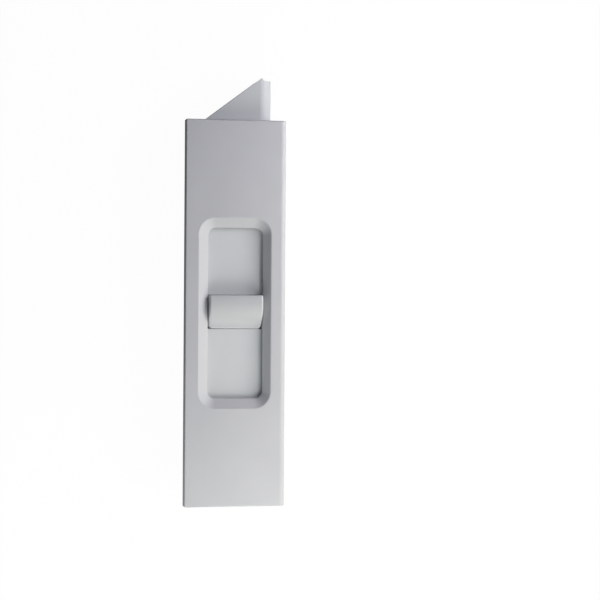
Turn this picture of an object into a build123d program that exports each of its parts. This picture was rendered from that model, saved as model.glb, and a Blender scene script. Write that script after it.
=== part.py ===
from build123d import *
import os
from math import sqrt

os.makedirs("parts", exist_ok=True)

# Flush-mounted tilt latch for a sliding sash window. Sizes are in millimetres.
# X runs across the latch and Y along it, towards the nose of the bolt. Z points out of the face.
# X = 0 is the middle of the bolt and its channel, Y = 0 the middle of the face plate's length
# and Z = 0 its underside, where it seats on the sash.

# Face plate
PLATE_WIDTH = 25.4
PLATE_LENGTH = 96.6
PLATE_SHIFT = -0.2
PLATE_THICK = 3.0
PLATE_LEFT_ROUND = 0.25
PLATE_RIGHT_ROUND = 1.4
PLATE_END_ROUND = 0.3

# Finger recess: a bevel all round, wider on its left, then the opening down to the bolt
RECESS_WIDTH = 18.3
RECESS_LENGTH = 47.6
RECESS_SHIFT = -0.45
RECESS_CORNER = 4.2
RECESS_EDGE_ROUND = 0.4
BEVEL_LENGTH = 2.4
BEVEL_DEPTH = 1.9
OPENING_CORNER = 2.0

# Sash wall that the latch clips into
SASH_WALL = 2.0
CATCH_CLEAR = 0.1

# Bolt
BOLT_WIDTH = 19.0
BOLT_HEIGHT = 8.0
BOLT_WALL = 1.6
BOLT_RIB = 1.2
BOLT_CORNER = 0.5
TAIL_COVER = 2.0
TAIL_BLOCK = 8.0
SLIDE_CLEAR = 0.2
CEILING_RELIEF = 0.2

# Nose of the bolt
NOSE_WIDTH = 17.2
NOSE_INSET = 0.2
NOSE_REACH = 10.9
NOSE_WEB = 1.6
NOSE_TIP_FLAT = 2.7
NOSE_TIP_HORN = 0.45
NOSE_TIP_STEP = 0.6
NOSE_SIDE_ROUND = 3.2
NOSE_BACK_ROUND = 1.0
NOSE_TUCK = 0.2

# Thumb tab
TAB_WIDTH = 13.6
TAB_LENGTH = 8.4
TAB_SHIFT = 0.35
TAB_SIDE_CLEAR = 0.2
TAB_CORNER = 1.2
TAB_FRONT_CORNER = 0.5
TAB_FACET_LENGTH = 2.7
TAB_FACET_WIDTH = 1.2
TAB_FACET_HEIGHT = 2.0
TAB_FACET_DROP = 0.9
TAB_CREST_Z = 3.15
TAB_CREST_Y = 2.0
TAB_CROWN_RADIUS = 5.6
TAB_CROWN_FRONT = 24.0
TAB_CROWN_BACK = 48.0
TAB_LIP_HEIGHT = 0.5
TAB_EDGE_ROUND = 0.5
TAB_GAP = 0.1
TAB_WALL = 1.3
TAB_FLANGE_THICK = 1.2
TAB_FLANGE_SIDE = 0.5
TAB_FLANGE_END = 1.0

# Channel under the face plate
CHANNEL_WALL = 1.7
FRONT_WALL = 1.9
FRONT_SETBACK = 0.3
REAR_WALL = 1.8
REAR_OVERHANG = 6.0
COVER_THICK = 1.4
COVER_BEVEL = 0.4

# Return spring, and the pin and the pocket that hold its ends
SPRING_OUTER = 5.4
SPRING_WIRE = 0.7
SPRING_WIRE_SIDES = 8
SPRING_TURNS = 9
SPRING_END_GAP = 0.05
SPRING_FIT = 0.3
PIN_FIT = 0.4
PIN_CLEAR = 3.2
PIN_CHAMFER = 0.5
POCKET_DEPTH = 6.0

# Snap fingers cut in the side walls, and the snap tongue behind the rear wall
FINGER_WIDTH = 5.0
FINGER_PITCH = 24.0
FINGER_SLOT = 0.8
FINGER_ROOT = 1.2
BARB_PROUD = 0.7
BARB_HEIGHT = 2.9
TONGUE_WIDTH = 8.0
TONGUE_THICK = 1.2
TONGUE_GAP = 1.3
TONGUE_DROP = 7.4

# Clips of the back cover, which rise in grooves in the side walls and hook over small wedges
CLIP_WIDTH = 6.0
CLIP_PITCH = 60.0
CLIP_THICK = 0.9
CLIP_RISE = 4.2
CLIP_GAP = 0.05
CLIP_SIDE_GAP = 0.2
WEDGE_WIDTH = 3.0
WEDGE_PROUD = 0.6
WEDGE_LOW = 1.6
WEDGE_HIGH = 3.0
WEDGE_GAP = 0.1

# Places that follow from the sizes above
plate_end = PLATE_LENGTH / 2
opening_width = TAB_WIDTH + 2 * TAB_SIDE_CLEAR
opening_length = RECESS_LENGTH - 2 * BEVEL_LENGTH

bolt_top = CEILING_RELIEF - SLIDE_CLEAR
bolt_bottom = bolt_top - BOLT_HEIGHT
channel_bottom = bolt_bottom - SLIDE_CLEAR
channel_width = BOLT_WIDTH + 2 * SLIDE_CLEAR
outer_half = channel_width / 2 + CHANNEL_WALL
nose_right = BOLT_WIDTH / 2 - NOSE_INSET
nose_left = nose_right - NOSE_WIDTH
nose_middle = (nose_left + nose_right) / 2
nose_way = NOSE_WIDTH + 2 * SLIDE_CLEAR

travel = NOSE_REACH + NOSE_TUCK
front_outer = plate_end - FRONT_SETBACK
front_inner = front_outer - FRONT_WALL
bolt_tail = -opening_length / 2 - TAIL_COVER
rear_outer = -plate_end + REAR_OVERHANG
rear_inner = rear_outer + REAR_WALL
body_length = front_outer - rear_outer
body_middle = (front_outer + rear_outer) / 2

window_width = TAB_WIDTH + 2 * TAB_GAP
window_length = TAB_LENGTH + 2 * TAB_GAP
flange_width = window_width + 2 * TAB_FLANGE_SIDE
flange_length = window_length + 2 * TAB_FLANGE_END
tab_pocket_width = flange_width + 2 * TAB_GAP
tab_pocket_length = flange_length + 2 * TAB_GAP
web_bottom = bolt_top - BOLT_WALL

spring_z = (bolt_top + bolt_bottom) / 2
spring_start = rear_inner + SPRING_END_GAP
spring_end = bolt_tail + POCKET_DEPTH - SPRING_END_GAP
pocket_radius = SPRING_OUTER / 2 + SPRING_FIT
pin_radius = SPRING_OUTER / 2 - SPRING_WIRE - PIN_FIT
pin_tip = bolt_tail - travel + POCKET_DEPTH - PIN_CLEAR

barb_top = -SASH_WALL - CATCH_CLEAR
groove_depth = CLIP_THICK + 2 * CLIP_GAP
groove_half = outer_half - groove_depth
wedge_low = channel_bottom + WEDGE_LOW
wedge_high = channel_bottom + WEDGE_HIGH
finger_places = [(side, y) for side in (-1, 1) for y in (-FINGER_PITCH / 2, FINGER_PITCH / 2)]
clip_places = [(side, y) for side in (-1, 1) for y in (-CLIP_PITCH / 2, CLIP_PITCH / 2)]


def facing_front(y):
    """Plane across the latch at y, its normal along +Y and its own y axis along +Z."""
    return Plane(origin=(0, y, 0), x_dir=(-1, 0, 0), z_dir=(0, 1, 0))


# Housing: face plate, channel, walls, spring pin and snap fingers in one moulding
with BuildPart() as housing:
    with BuildSketch():
        with Locations((PLATE_SHIFT, 0)):
            Rectangle(PLATE_WIDTH, PLATE_LENGTH)
    extrude(amount=PLATE_THICK)
    face_edges = housing.faces().sort_by(Axis.Z)[-1].edges()
    left_edge, right_edge = face_edges.filter_by(Axis.Y).sort_by(Axis.X)
    fillet(left_edge, PLATE_LEFT_ROUND)
    fillet(right_edge, PLATE_RIGHT_ROUND)
    end_edges = housing.faces().filter_by(Axis.Y).edges()
    round_start = PLATE_THICK - PLATE_RIGHT_ROUND
    fillet(end_edges.filter_by(lambda edge: edge.center().Z > round_start), PLATE_END_ROUND)

    # Bevelled recess and the opening in its floor
    with BuildSketch(Plane.XY.offset(PLATE_THICK)):
        with Locations((RECESS_SHIFT, 0)):
            RectangleRounded(RECESS_WIDTH, RECESS_LENGTH, RECESS_CORNER)
    with BuildSketch(Plane.XY.offset(PLATE_THICK - BEVEL_DEPTH)):
        RectangleRounded(opening_width, opening_length, OPENING_CORNER)
    loft(mode=Mode.SUBTRACT)
    face = housing.faces().filter_by(Axis.Z).sort_by(Axis.Z)[-1]
    fillet(face.inner_wires()[0].edges(), RECESS_EDGE_ROUND)
    with BuildSketch():
        RectangleRounded(opening_width, opening_length, OPENING_CORNER)
    extrude(amount=PLATE_THICK, mode=Mode.SUBTRACT)

    # Channel walls, open below, with the way out for the nose
    with BuildSketch():
        with Locations((0, body_middle)):
            Rectangle(2 * outer_half, body_length)
        with Locations((0, (front_inner + rear_inner) / 2)):
            Rectangle(channel_width, front_inner - rear_inner, mode=Mode.SUBTRACT)
        with Locations((nose_middle, (front_inner + front_outer) / 2)):
            Rectangle(nose_way, FRONT_WALL, mode=Mode.SUBTRACT)
    extrude(amount=channel_bottom)

    # The ceiling of the channel is set in a little from the seat, out to the end of the plate
    with BuildSketch():
        with Locations((0, (front_inner + rear_inner) / 2)):
            Rectangle(channel_width, front_inner - rear_inner)
        with Locations((nose_middle, (front_inner + plate_end) / 2)):
            Rectangle(nose_way, plate_end - front_inner)
    extrude(amount=CEILING_RELIEF, mode=Mode.SUBTRACT)

    # Pin that guides the spring
    with BuildSketch(facing_front(rear_inner)):
        with Locations((0, spring_z)):
            Circle(pin_radius)
    extrude(amount=pin_tip - rear_inner)
    round_edges = housing.edges().filter_by(GeomType.CIRCLE)
    chamfer(round_edges.sort_by(lambda edge: abs(edge.center().Y - pin_tip))[0], PIN_CHAMFER)

    # Snap fingers: a slot on each side of a strip of wall, and a barb on the strip
    for side, y in finger_places:
        wall_middle = side * (outer_half - CHANNEL_WALL / 2)
        with BuildSketch(Plane.XY.offset(channel_bottom)):
            with Locations((wall_middle, y)):
                with GridLocations(0, FINGER_WIDTH + FINGER_SLOT, 1, 2):
                    Rectangle(CHANNEL_WALL, FINGER_SLOT)
        extrude(amount=-channel_bottom - FINGER_ROOT, mode=Mode.SUBTRACT)
        with BuildSketch(facing_front(y)):
            with BuildLine():
                Polyline(
                    (-side * outer_half, barb_top),
                    (-side * (outer_half + BARB_PROUD), barb_top),
                    (-side * (outer_half + BARB_PROUD), barb_top - BARB_PROUD),
                    (-side * outer_half, barb_top - BARB_HEIGHT),
                    close=True,
                )
            make_face()
        extrude(amount=FINGER_WIDTH / 2, both=True)

    # Grooves for the clips of the back cover, each with its wedge
    for side, y in clip_places:
        groove_top = channel_bottom + CLIP_RISE + CLIP_SIDE_GAP
        with BuildSketch(Plane.XY.offset(channel_bottom)):
            with Locations((side * (outer_half - groove_depth / 2), y)):
                Rectangle(groove_depth, CLIP_WIDTH + 2 * CLIP_SIDE_GAP)
        extrude(amount=groove_top - channel_bottom, mode=Mode.SUBTRACT)
        with BuildSketch(facing_front(y)):
            with BuildLine():
                Polyline(
                    (-side * groove_half, wedge_low),
                    (-side * (groove_half + WEDGE_PROUD), wedge_high),
                    (-side * groove_half, wedge_high),
                    close=True,
                )
            make_face()
        extrude(amount=WEDGE_WIDTH / 2, both=True)

    # Snap tongue behind the rear wall
    with BuildSketch(Plane.YZ):
        tongue_front = rear_outer - TONGUE_GAP
        tongue_back = tongue_front - TONGUE_THICK
        with BuildLine():
            Polyline(
                (tongue_front, 0),
                (tongue_front, -TONGUE_DROP),
                (tongue_back, -TONGUE_DROP),
                (tongue_back, barb_top - BARB_HEIGHT),
                (tongue_back - BARB_PROUD, barb_top - BARB_PROUD),
                (tongue_back - BARB_PROUD, barb_top),
                (tongue_back, barb_top),
                (tongue_back, 0),
                close=True,
            )
        make_face()
    extrude(amount=TONGUE_WIDTH / 2, both=True)

housing.part.label = "housing"
export_step(housing.part, "parts/housing.step")


# Back cover: closes the channel and carries the bolt from below
with BuildPart() as back_cover:
    with BuildSketch(Plane.XY.offset(channel_bottom)):
        with Locations((0, body_middle)):
            Rectangle(2 * outer_half, body_length)
    extrude(amount=-COVER_THICK)
    chamfer(back_cover.faces().sort_by(Axis.Z)[0].edges(), COVER_BEVEL)

    for side, y in clip_places:
        clip_middle = side * (groove_half + CLIP_GAP + CLIP_THICK / 2)
        with BuildSketch(Plane.XY.offset(channel_bottom)):
            with Locations((clip_middle, y)):
                Rectangle(CLIP_THICK, CLIP_WIDTH)
        extrude(amount=CLIP_RISE)
        with BuildSketch(Plane.XY.offset(wedge_low - WEDGE_GAP)):
            with Locations((clip_middle, y)):
                Rectangle(CLIP_THICK, WEDGE_WIDTH + 2 * WEDGE_GAP)
        extrude(amount=WEDGE_HIGH - WEDGE_LOW + 2 * WEDGE_GAP, mode=Mode.SUBTRACT)

back_cover.part.label = "back_cover"
export_step(back_cover.part, "parts/back_cover.step")


# Latch bolt: a sliding bar, cored from below, whose top shows as the floor of the recess
nose_tip = plate_end + NOSE_REACH
nose_slope = NOSE_REACH / (NOSE_WIDTH - NOSE_TIP_FLAT)
tab_wall_start = TAB_SHIFT - tab_pocket_length / 2 - BOLT_RIB
tab_wall_end = TAB_SHIFT + tab_pocket_length / 2 + BOLT_RIB
front_core_end = front_inner - BOLT_WALL
front_core_middle = (tab_wall_end + front_core_end) / 2
core_spans = [
    (bolt_tail + TAIL_BLOCK, tab_wall_start),
    (tab_wall_end, front_core_middle - BOLT_RIB / 2),
    (front_core_middle + BOLT_RIB / 2, front_core_end),
]

with BuildPart() as latch_bolt:
    with BuildSketch(Plane.XY.offset(bolt_bottom)):
        with Locations((0, (bolt_tail + front_inner) / 2)):
            Rectangle(BOLT_WIDTH, front_inner - bolt_tail)
    extrude(amount=BOLT_HEIGHT)
    fillet(latch_bolt.edges().filter_by(Axis.Z).group_by(Axis.Y)[0], BOLT_CORNER)

    # Nose: a slanted strike face on one side, a straight one on the other and a flat end between
    with BuildSketch(Plane.XY.offset(bolt_top)):
        with BuildLine():
            Polyline(
                (nose_left, front_inner),
                (nose_left, plate_end),
                (nose_right - NOSE_TIP_FLAT, nose_tip),
                (nose_right - NOSE_TIP_FLAT + NOSE_TIP_HORN, nose_tip - NOSE_TIP_STEP),
                (nose_right, nose_tip - NOSE_TIP_STEP),
                (nose_right, front_inner),
                close=True,
            )
        make_face()
    extrude(amount=-BOLT_HEIGHT)

    # Below the top web the tip is stepped back and its lowest corner is rounded
    with BuildSketch(Plane.YZ.offset(nose_left)):
        with BuildLine():
            step_y = nose_tip - NOSE_TIP_STEP
            past_tip = step_y + NOSE_REACH
            arc_start = (step_y - NOSE_BACK_ROUND, bolt_bottom)
            arc_end = (step_y, bolt_bottom + NOSE_BACK_ROUND)
            web_end = (step_y, bolt_top - NOSE_WEB)
            Polyline(web_end, (past_tip, web_end[1]), (past_tip, bolt_bottom), arc_start)
            RadiusArc(arc_start, arc_end, -NOSE_BACK_ROUND)
            Line(arc_end, web_end)
        make_face()
    extrude(amount=NOSE_WIDTH, mode=Mode.SUBTRACT)
    side_faces = latch_bolt.faces().filter_by(Axis.X)
    straight_side = side_faces.sort_by(lambda face: abs(face.center().X - nose_right))[0]
    fillet(straight_side.edges().filter_by(Axis.Y).sort_by(Axis.Z)[-1], NOSE_SIDE_ROUND)

    # Cores from below, with ribs left between them
    for start, end in core_spans:
        with BuildSketch(Plane.XY.offset(bolt_bottom)):
            with Locations((0, (start + end) / 2)):
                Rectangle(BOLT_WIDTH - 2 * BOLT_WALL, end - start)
        extrude(amount=BOLT_HEIGHT - BOLT_WALL, mode=Mode.SUBTRACT)
    with BuildSketch(Plane.XY.offset(bolt_bottom)):
        with BuildLine():
            core_left = nose_left + NOSE_WEB
            core_right = nose_right - NOSE_WEB
            core_tip = nose_tip - NOSE_TIP_STEP - NOSE_WEB
            slant_depth = NOSE_WEB * sqrt(1 + nose_slope**2)
            slant_start = plate_end + nose_slope * NOSE_WEB - slant_depth
            Polyline(
                (core_left, front_inner),
                (core_left, slant_start),
                (core_left + (core_tip - slant_start) / nose_slope, core_tip),
                (core_right, core_tip),
                (core_right, front_inner),
                close=True,
            )
        make_face()
    extrude(amount=BOLT_HEIGHT - NOSE_WEB, mode=Mode.SUBTRACT)

    # Window for the thumb tab, with room below for the tab's flange
    with BuildSketch(Plane.XY.offset(bolt_bottom)):
        with Locations((0, TAB_SHIFT)):
            Rectangle(window_width, window_length)
    extrude(amount=BOLT_HEIGHT, mode=Mode.SUBTRACT)
    with BuildSketch(Plane.XY.offset(bolt_bottom)):
        with Locations((0, TAB_SHIFT)):
            Rectangle(tab_pocket_width, tab_pocket_length)
    extrude(amount=BOLT_HEIGHT - BOLT_WALL, mode=Mode.SUBTRACT)

    # Blind pocket in the tail for the spring
    with BuildSketch(facing_front(bolt_tail)):
        with Locations((0, spring_z)):
            Circle(pocket_radius)
    extrude(amount=POCKET_DEPTH, mode=Mode.SUBTRACT)

latch_bolt.part.label = "latch_bolt"
export_step(latch_bolt.part, "parts/latch_bolt.step")


# Thumb tab: a crowned grip that fills the window of the bolt, held by a flange from below
tab_back = TAB_SHIFT - TAB_LENGTH / 2

with BuildPart() as thumb_tab:
    # Plan shape, with round corners at the back
    with BuildSketch(Plane.XY.offset(web_bottom)):
        with Locations((0, TAB_SHIFT)):
            Rectangle(TAB_WIDTH, TAB_LENGTH)
        fillet(vertices().group_by(Axis.Y)[0], TAB_CORNER)
        fillet(vertices().group_by(Axis.Y)[-1], TAB_FRONT_CORNER)
    extrude(amount=TAB_CREST_Z - web_bottom)

    # Side profile: a steep front, a round crown and a hollow run-out to a thin lip
    with BuildSketch(Plane.YZ):
        with BuildLine():
            crown = CenterArc(
                (TAB_SHIFT + TAB_CREST_Y, TAB_CREST_Z - TAB_CROWN_RADIUS),
                TAB_CROWN_RADIUS,
                start_angle=90 - TAB_CROWN_FRONT,
                arc_size=TAB_CROWN_FRONT + TAB_CROWN_BACK,
            )
            run_out = TangentArc(crown @ 1, (tab_back, bolt_top + TAB_LIP_HEIGHT), tangent=crown % 1)
            Polyline(run_out @ 1, (tab_back, web_bottom), ((crown @ 0).X, web_bottom), crown @ 0)
        make_face()
    extrude(amount=TAB_WIDTH / 2, both=True, mode=Mode.INTERSECT)
    side_edges = thumb_tab.faces().filter_by(Axis.X).edges()
    fillet(side_edges.filter_by(GeomType.CIRCLE), TAB_EDGE_ROUND)

    # Facets that take the back corners of the crown down to the bolt
    for side in (-1, 1):
        facet_top = Vector(side * TAB_WIDTH / 2, tab_back + TAB_FACET_LENGTH, bolt_top + TAB_FACET_HEIGHT)
        facet_inner = Vector(side * (TAB_WIDTH / 2 - TAB_FACET_WIDTH), tab_back, bolt_top + TAB_LIP_HEIGHT)
        facet_low = facet_inner + Vector(side * TAB_FACET_WIDTH, 0, -TAB_FACET_DROP)
        outward = (facet_inner - facet_top).cross(facet_low - facet_top) * side
        split(bisect_by=Plane(origin=facet_top, z_dir=outward), keep=Keep.BOTTOM)

    # Flange that bears on the underside of the bolt's top, and the skirt below it
    with BuildSketch(Plane.XY.offset(web_bottom)):
        with Locations((0, TAB_SHIFT)):
            Rectangle(flange_width, flange_length)
    extrude(amount=-TAB_FLANGE_THICK)
    with BuildSketch(Plane.XY.offset(bolt_bottom)):
        with Locations((0, TAB_SHIFT)):
            Rectangle(TAB_WIDTH, TAB_LENGTH)
            Rectangle(TAB_WIDTH - 2 * TAB_WALL, TAB_LENGTH - 2 * TAB_WALL, mode=Mode.SUBTRACT)
    extrude(amount=BOLT_HEIGHT - BOLT_WALL)
    with BuildSketch(Plane.XY.offset(bolt_bottom)):
        with Locations((0, TAB_SHIFT)):
            Rectangle(TAB_WIDTH - 2 * TAB_WALL, TAB_LENGTH - 2 * TAB_WALL)
    extrude(amount=BOLT_HEIGHT - BOLT_WALL, mode=Mode.SUBTRACT)

thumb_tab.part.label = "thumb_tab"
export_step(thumb_tab.part, "parts/thumb_tab.step")


# Bolt spring: a compression spring with its two ends ground flat, its round wire drawn with
# a few flats to keep the model light
spring_length = spring_end - spring_start
spring_pitch = spring_length / SPRING_TURNS
coil_radius = (SPRING_OUTER - SPRING_WIRE) / 2

with BuildPart() as bolt_spring:
    with BuildLine():
        coil = Helix(
            pitch=spring_pitch,
            height=spring_length + 2 * SPRING_WIRE,
            radius=coil_radius,
            center=(0, spring_start - SPRING_WIRE, spring_z),
            direction=(0, 1, 0),
        )
    with BuildSketch(Plane(origin=coil @ 0, z_dir=coil % 0)):
        RegularPolygon(SPRING_WIRE / 2, SPRING_WIRE_SIDES)
    sweep(is_frenet=True)
    with BuildSketch(facing_front(spring_start)):
        with Locations((0, spring_z)):
            Circle(SPRING_OUTER)
    extrude(amount=spring_length, mode=Mode.INTERSECT)

bolt_spring.part.label = "bolt_spring"
export_step(bolt_spring.part, "parts/bolt_spring.step")
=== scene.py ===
import math

import bmesh
import bpy
from mathutils import Matrix, Vector


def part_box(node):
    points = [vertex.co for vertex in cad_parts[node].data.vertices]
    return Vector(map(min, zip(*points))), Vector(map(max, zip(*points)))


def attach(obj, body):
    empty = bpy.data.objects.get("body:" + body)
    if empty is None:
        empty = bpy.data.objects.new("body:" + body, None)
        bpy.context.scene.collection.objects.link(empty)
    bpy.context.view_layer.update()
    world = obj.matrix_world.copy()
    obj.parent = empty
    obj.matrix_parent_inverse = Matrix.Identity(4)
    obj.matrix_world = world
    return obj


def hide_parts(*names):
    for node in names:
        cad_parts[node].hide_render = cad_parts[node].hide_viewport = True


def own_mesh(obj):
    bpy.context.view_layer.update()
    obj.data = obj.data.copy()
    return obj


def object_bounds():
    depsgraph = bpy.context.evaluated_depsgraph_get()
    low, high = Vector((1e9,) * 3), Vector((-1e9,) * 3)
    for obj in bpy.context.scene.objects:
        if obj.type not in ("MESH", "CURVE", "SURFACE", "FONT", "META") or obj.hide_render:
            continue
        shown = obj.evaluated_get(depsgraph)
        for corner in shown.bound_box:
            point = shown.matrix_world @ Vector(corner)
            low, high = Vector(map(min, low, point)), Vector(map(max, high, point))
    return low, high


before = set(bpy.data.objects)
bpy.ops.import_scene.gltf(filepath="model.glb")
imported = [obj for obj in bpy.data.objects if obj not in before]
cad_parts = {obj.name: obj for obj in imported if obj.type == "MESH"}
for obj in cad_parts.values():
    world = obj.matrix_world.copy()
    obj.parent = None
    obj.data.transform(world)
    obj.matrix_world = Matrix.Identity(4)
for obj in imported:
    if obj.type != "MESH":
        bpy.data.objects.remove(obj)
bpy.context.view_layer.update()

# Lengths are in metres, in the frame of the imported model: X across the latch, Y along it towards
# the nose of the bolt, Z out of the face.
MM = 0.001

# The photograph's frame and the camera that sees the latch as it does
IMAGE_SIZE = 600
FOCAL_PIXELS = 1814.3
SENSOR_WIDTH = 36.0
CAMERA_PLACE = Vector((-73.4, 6.5, 450.0)) * MM
CAMERA_AIM = Vector((16.7, 3.4, 0.0)) * MM
CAMERA_ROLL = math.radians(0.385)
CLIP_START = 0.05
CLIP_END = 20.0

# Soft square lamps: name, place, side of the square, power in watts, colour
LAMPS = (
    ("side_light", (0.08, 0.05, 0.06), 0.06, 0.06, (0.95, 0.945, 1.0)),
    ("low_light", (0.10, 0.0, 0.035), 0.035, 0.016, (0.99, 1.0, 0.7)),
    ("corner_light", (0.06, -0.10, 0.06), 0.06, 0.064, (1.0, 0.985, 0.9)),
    ("lower_light", (0.05, -0.10, 0.11), 0.09, 0.063, (0.95, 0.96, 0.98)),
    ("upper_light", (0.16, 0.14, 0.10), 0.14, 0.15, (0.9, 0.885, 1.0)),
    ("left_light", (-0.06, -0.12, 0.05), 0.06, 0.051, (0.96, 0.987, 1.0)),
)
SKY_COLOUR = (0.74, 0.82, 1.0, 1.0)
SKY_STRENGTH = 0.09

# White backdrop: the camera sees floor and sky as nearly white, and what is left of the floor's
# own grey shows the shadow. Reflections get a small share of the white, because the sides of the
# latch mirror the floor close by, which lies in its shade.
WHITE = (1.0, 1.0, 1.0, 1.0)
WHITE_STRENGTH = 1.08
WHITE_TO_CAMERA = 0.9
WHITE_TO_REFLECTIONS = 0.12
FLOOR_COLOUR = (0.3, 0.3, 0.3, 1.0)
FLOOR_ROUGHNESS = 0.9
FLOOR_GAP = 0.2 * MM
FLOOR_HALF = 3.0

# Plastics, as linear colours
HOUSING_COLOUR = (0.58, 0.58, 0.59)
BOLT_COLOUR = (0.657, 0.671, 0.668)
TAB_COLOUR = (0.585, 0.592, 0.594)
PLASTIC_IOR = 1.47
PLASTIC_ROUGHNESS = (0.5, 0.61)

# Clouds about 11 mm across vary colour and gloss a little, and the mould's texture of about
# 0.2 mm lies on every face
CLOUD_SCALE = 90.0
CLOUD_DETAIL = 3.0
CLOUD_RANGE = (0.3, 0.7)
CLOUD_SHADES = (0.975, 1.015)
SKIN_SCALE = 5200.0
SKIN_DETAIL = 4.0
SKIN_STRENGTH = 0.25
SKIN_DEPTH = 0.02 * MM

# Spring steel
STEEL_COLOUR = (0.56, 0.56, 0.58, 1.0)
STEEL_ROUGHNESS = (0.22, 0.42)
STEEL_SCALE = 2600.0
STEEL_DETAIL = 2.0

# Bolt spring: the last turns at each end lie close, and a quarter of the wire is ground away there
WIRE_DIAMETER = 0.7 * MM
WIRE_SIDES = 14
SPRING_TURNS = 9
STEPS_PER_TURN = 40
CLOSED_TURNS = 0.85
OPENING_TURNS = 0.5
GROUND_DEPTH = WIRE_DIAMETER / 4


def add_camera():
    """Camera at the photograph's place, on the latch's own axes."""
    data = bpy.data.cameras.new("camera")
    data.sensor_width = SENSOR_WIDTH
    data.lens = SENSOR_WIDTH * FOCAL_PIXELS / IMAGE_SIZE
    data.clip_start = CLIP_START
    data.clip_end = CLIP_END
    back = (CAMERA_PLACE - CAMERA_AIM).normalized()
    right = Vector((0, 1, 0)).cross(back).normalized()
    up = back.cross(right)
    turn = Matrix((right, up, back)).transposed().to_4x4() @ Matrix.Rotation(CAMERA_ROLL, 4, "Z")
    camera = bpy.data.objects.new("camera", data)
    bpy.context.scene.collection.objects.link(camera)
    camera.matrix_world = Matrix.Translation(CAMERA_PLACE) @ turn
    bpy.context.scene.camera = camera


def add_area_light(name, place, size, power, colour):
    """Square soft light at a place, turned to the middle of the latch and unseen by the camera."""
    data = bpy.data.lights.new(name, "AREA")
    data.shape = "SQUARE"
    data.size = size
    data.energy = power
    data.color = colour
    light = bpy.data.objects.new(name, data)
    bpy.context.scene.collection.objects.link(light)
    light.location = place
    light.rotation_euler = (-Vector(place)).to_track_quat("-Z", "Y").to_euler()
    light.visible_camera = False


def white_share(nodes, links):
    """Share of the white backdrop in what a ray sees: most for the camera, little in a mirror."""
    path = nodes.new("ShaderNodeLightPath")
    mirrored = nodes.new("ShaderNodeMath")
    mirrored.operation = "MAXIMUM"
    links.new(path.outputs["Is Glossy Ray"], mirrored.inputs[0])
    links.new(path.outputs["Is Transmission Ray"], mirrored.inputs[1])
    mirrored_share = nodes.new("ShaderNodeMath")
    mirrored_share.operation = "MULTIPLY"
    mirrored_share.inputs[1].default_value = WHITE_TO_REFLECTIONS
    links.new(mirrored.outputs[0], mirrored_share.inputs[0])
    share = nodes.new("ShaderNodeMath")
    share.operation = "MULTIPLY_ADD"
    share.inputs[1].default_value = WHITE_TO_CAMERA
    links.new(path.outputs["Is Camera Ray"], share.inputs[0])
    links.new(mirrored_share.outputs[0], share.inputs[2])
    return share.outputs[0]


def add_sky():
    """Weak cool light from all round, behind the white that the camera sees."""
    world = bpy.data.worlds.new("studio")
    bpy.context.scene.world = world
    world.use_nodes = True
    nodes = world.node_tree.nodes
    links = world.node_tree.links
    sky = nodes["Background"]
    sky.inputs["Color"].default_value = SKY_COLOUR
    sky.inputs["Strength"].default_value = SKY_STRENGTH
    backdrop = nodes.new("ShaderNodeBackground")
    backdrop.inputs["Color"].default_value = WHITE
    backdrop.inputs["Strength"].default_value = WHITE_STRENGTH
    mix = nodes.new("ShaderNodeMixShader")
    links.new(white_share(nodes, links), mix.inputs["Fac"])
    links.new(sky.outputs["Background"], mix.inputs[1])
    links.new(backdrop.outputs["Background"], mix.inputs[2])
    links.new(mix.outputs["Shader"], nodes["World Output"].inputs["Surface"])


def new_material(name):
    """Empty material, with its nodes, its links and its Principled shader."""
    material = bpy.data.materials.new(name)
    material.use_nodes = True
    nodes = material.node_tree.nodes
    return material, nodes, material.node_tree.links, nodes["Principled BSDF"]


def moulded_plastic(name, colour):
    """Satin moulded plastic: a fine texture from the mould and a faint cloud in the colour."""
    material, nodes, links, shader = new_material(name)
    place = nodes.new("ShaderNodeTexCoord")

    cloud = nodes.new("ShaderNodeTexNoise")
    cloud.inputs["Scale"].default_value = CLOUD_SCALE
    cloud.inputs["Detail"].default_value = CLOUD_DETAIL
    links.new(place.outputs["Object"], cloud.inputs["Vector"])
    tint = nodes.new("ShaderNodeValToRGB")
    for stop, position, shade in zip(tint.color_ramp.elements, CLOUD_RANGE, CLOUD_SHADES):
        stop.position = position
        stop.color = [min(c * shade, 1.0) for c in colour] + [1]
    links.new(cloud.outputs["Fac"], tint.inputs["Fac"])
    links.new(tint.outputs["Color"], shader.inputs["Base Color"])

    skin = nodes.new("ShaderNodeTexNoise")
    skin.inputs["Scale"].default_value = SKIN_SCALE
    skin.inputs["Detail"].default_value = SKIN_DETAIL
    links.new(place.outputs["Object"], skin.inputs["Vector"])
    bump = nodes.new("ShaderNodeBump")
    bump.inputs["Strength"].default_value = SKIN_STRENGTH
    bump.inputs["Distance"].default_value = SKIN_DEPTH
    links.new(skin.outputs["Fac"], bump.inputs["Height"])
    links.new(bump.outputs["Normal"], shader.inputs["Normal"])

    vary_roughness(nodes, links, shader, cloud, PLASTIC_ROUGHNESS)
    shader.inputs["IOR"].default_value = PLASTIC_IOR
    return material


def spring_steel():
    """Drawn wire: bright steel, its gloss uneven on a fine scale."""
    material, nodes, links, shader = new_material("spring_steel")
    place = nodes.new("ShaderNodeTexCoord")
    specks = nodes.new("ShaderNodeTexNoise")
    specks.inputs["Scale"].default_value = STEEL_SCALE
    specks.inputs["Detail"].default_value = STEEL_DETAIL
    links.new(place.outputs["Object"], specks.inputs["Vector"])
    vary_roughness(nodes, links, shader, specks, STEEL_ROUGHNESS)
    shader.inputs["Base Color"].default_value = STEEL_COLOUR
    shader.inputs["Metallic"].default_value = 1.0
    return material


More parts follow.
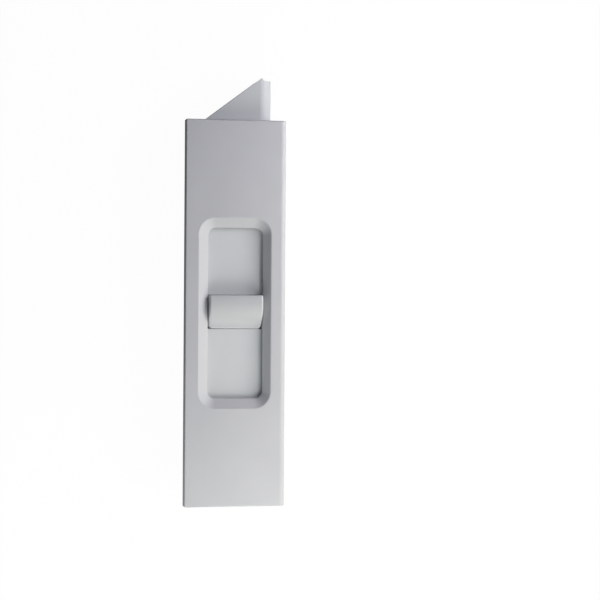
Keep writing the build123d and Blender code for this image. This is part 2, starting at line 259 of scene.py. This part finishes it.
def vary_roughness(nodes, links, shader, noise, limits):
    """Roughness that follows a noise between two limits."""
    gloss = nodes.new("ShaderNodeMapRange")
    gloss.inputs["To Min"].default_value = limits[0]
    gloss.inputs["To Max"].default_value = limits[1]
    links.new(noise.outputs["Fac"], gloss.inputs["Value"])
    links.new(gloss.outputs["Result"], shader.inputs["Roughness"])


def smooth(share):
    """Eases from 0 to 1 as share goes from 0 to 1."""
    share = min(max(share, 0.0), 1.0)
    return share * share * (3 - 2 * share)


def coil_line(low, high):
    """Points along the middle of the wire, from one end of the coil to the other.

    The turns at both ends lie close, wire on wire, and the rest share out what length is left.
    """
    centre_x = (low[0] + high[0]) / 2
    centre_z = (low[2] + high[2]) / 2
    radius = (high[0] - low[0] - WIRE_DIAMETER) / 2
    inset = WIRE_DIAMETER / 2 - GROUND_DEPTH
    steps = SPRING_TURNS * STEPS_PER_TURN
    shares = []
    for step in range(steps):
        turn = (step + 0.5) / STEPS_PER_TURN
        from_end = min(turn, SPRING_TURNS - turn)
        shares.append(smooth((from_end - CLOSED_TURNS) / OPENING_TURNS))
    close_rise = WIRE_DIAMETER / STEPS_PER_TURN
    open_rise = (high[1] - low[1] - 2 * inset - steps * close_rise) / sum(shares)
    points = []
    y = low[1] + inset
    for step in range(steps + 1):
        angle = 2 * math.pi * step / STEPS_PER_TURN
        x = centre_x + radius * math.cos(angle)
        z = centre_z + radius * math.sin(angle)
        points.append(Vector((x, y, z)))
        if step < steps:
            y += close_rise + open_rise * shares[step]
    return points


def coil_mesh(points, low, high):
    """Round wire along the points, cut off flat at both ends of the coil."""
    middle = (low + high) / 2
    last = len(points) - 1
    mesh = bmesh.new()
    rings = []
    for place, point in enumerate(points):
        along = (points[min(place + 1, last)] - points[max(place - 1, 0)]).normalized()
        outward = Vector((point.x - middle.x, 0, point.z - middle.z)).normalized()
        across = along.cross(outward).normalized()
        ring = []
        for side in range(WIRE_SIDES):
            angle = 2 * math.pi * side / WIRE_SIDES
            offset = outward * math.cos(angle) + across * math.sin(angle)
            corner = point + offset * WIRE_DIAMETER / 2
            corner.y = min(max(corner.y, low.y), high.y)
            ring.append(mesh.verts.new(corner))
        rings.append(ring)
    for first, second in zip(rings, rings[1:]):
        for side in range(WIRE_SIDES):
            after = (side + 1) % WIRE_SIDES
            face = mesh.faces.new((first[side], first[after], second[after], second[side]))
            face.smooth = True
    mesh.faces.new(rings[0])
    mesh.faces.new(list(reversed(rings[-1])))
    bmesh.ops.recalc_face_normals(mesh, faces=mesh.faces)
    data = bpy.data.meshes.new("coil_spring")
    mesh.to_mesh(data)
    mesh.free()
    return data


def add_spring():
    """Compression spring of round wire where the CAD spring stands, hung on the housing's body."""
    low, high = (Vector(corner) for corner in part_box("bolt_spring"))
    data = coil_mesh(coil_line(low, high), low, high)
    data.materials.append(spring_steel())
    spring = bpy.data.objects.new("coil_spring", data)
    bpy.context.scene.collection.objects.link(spring)

    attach(spring, "housing")
    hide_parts("bolt_spring")
    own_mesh(spring)


def dress_cad_nodes():
    """Each CAD node that shows gets its own plastic."""
    finishes = {
        "housing": moulded_plastic("housing_plastic", HOUSING_COLOUR),
        "back_cover": moulded_plastic("cover_plastic", HOUSING_COLOUR),
        "latch_bolt": moulded_plastic("bolt_plastic", BOLT_COLOUR),
        "thumb_tab": moulded_plastic("tab_plastic", TAB_COLOUR),
    }
    for name, material in finishes.items():
        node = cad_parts[name]
        node.data.materials.clear()
        node.data.materials.append(material)


def add_floor():
    """Plain floor under the latch: it takes the shadow and shows white to the camera."""
    low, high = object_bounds()
    z = low[2] - FLOOR_GAP
    mesh = bpy.data.meshes.new("floor")
    ends = ((-1, -1), (1, -1), (1, 1), (-1, 1))
    corners = [(x * FLOOR_HALF, y * FLOOR_HALF, z) for x, y in ends]
    mesh.from_pydata(corners, [], [(0, 1, 2, 3)])
    floor = bpy.data.objects.new("floor", mesh)
    bpy.context.scene.collection.objects.link(floor)

    material, nodes, links, shader = new_material("floor_white")
    shader.inputs["Base Color"].default_value = FLOOR_COLOUR
    shader.inputs["Roughness"].default_value = FLOOR_ROUGHNESS
    glow = nodes.new("ShaderNodeEmission")
    glow.inputs["Color"].default_value = WHITE
    glow.inputs["Strength"].default_value = WHITE_STRENGTH
    mix = nodes.new("ShaderNodeMixShader")
    links.new(white_share(nodes, links), mix.inputs["Fac"])
    links.new(shader.outputs["BSDF"], mix.inputs[1])
    links.new(glow.outputs["Emission"], mix.inputs[2])
    links.new(mix.outputs["Shader"], nodes["Material Output"].inputs["Surface"])
    mesh.materials.append(material)


add_camera()
for lamp in LAMPS:
    add_area_light(*lamp)
add_sky()
dress_cad_nodes()
add_spring()
add_floor()
bpy.context.scene.view_settings.view_transform = "Standard"
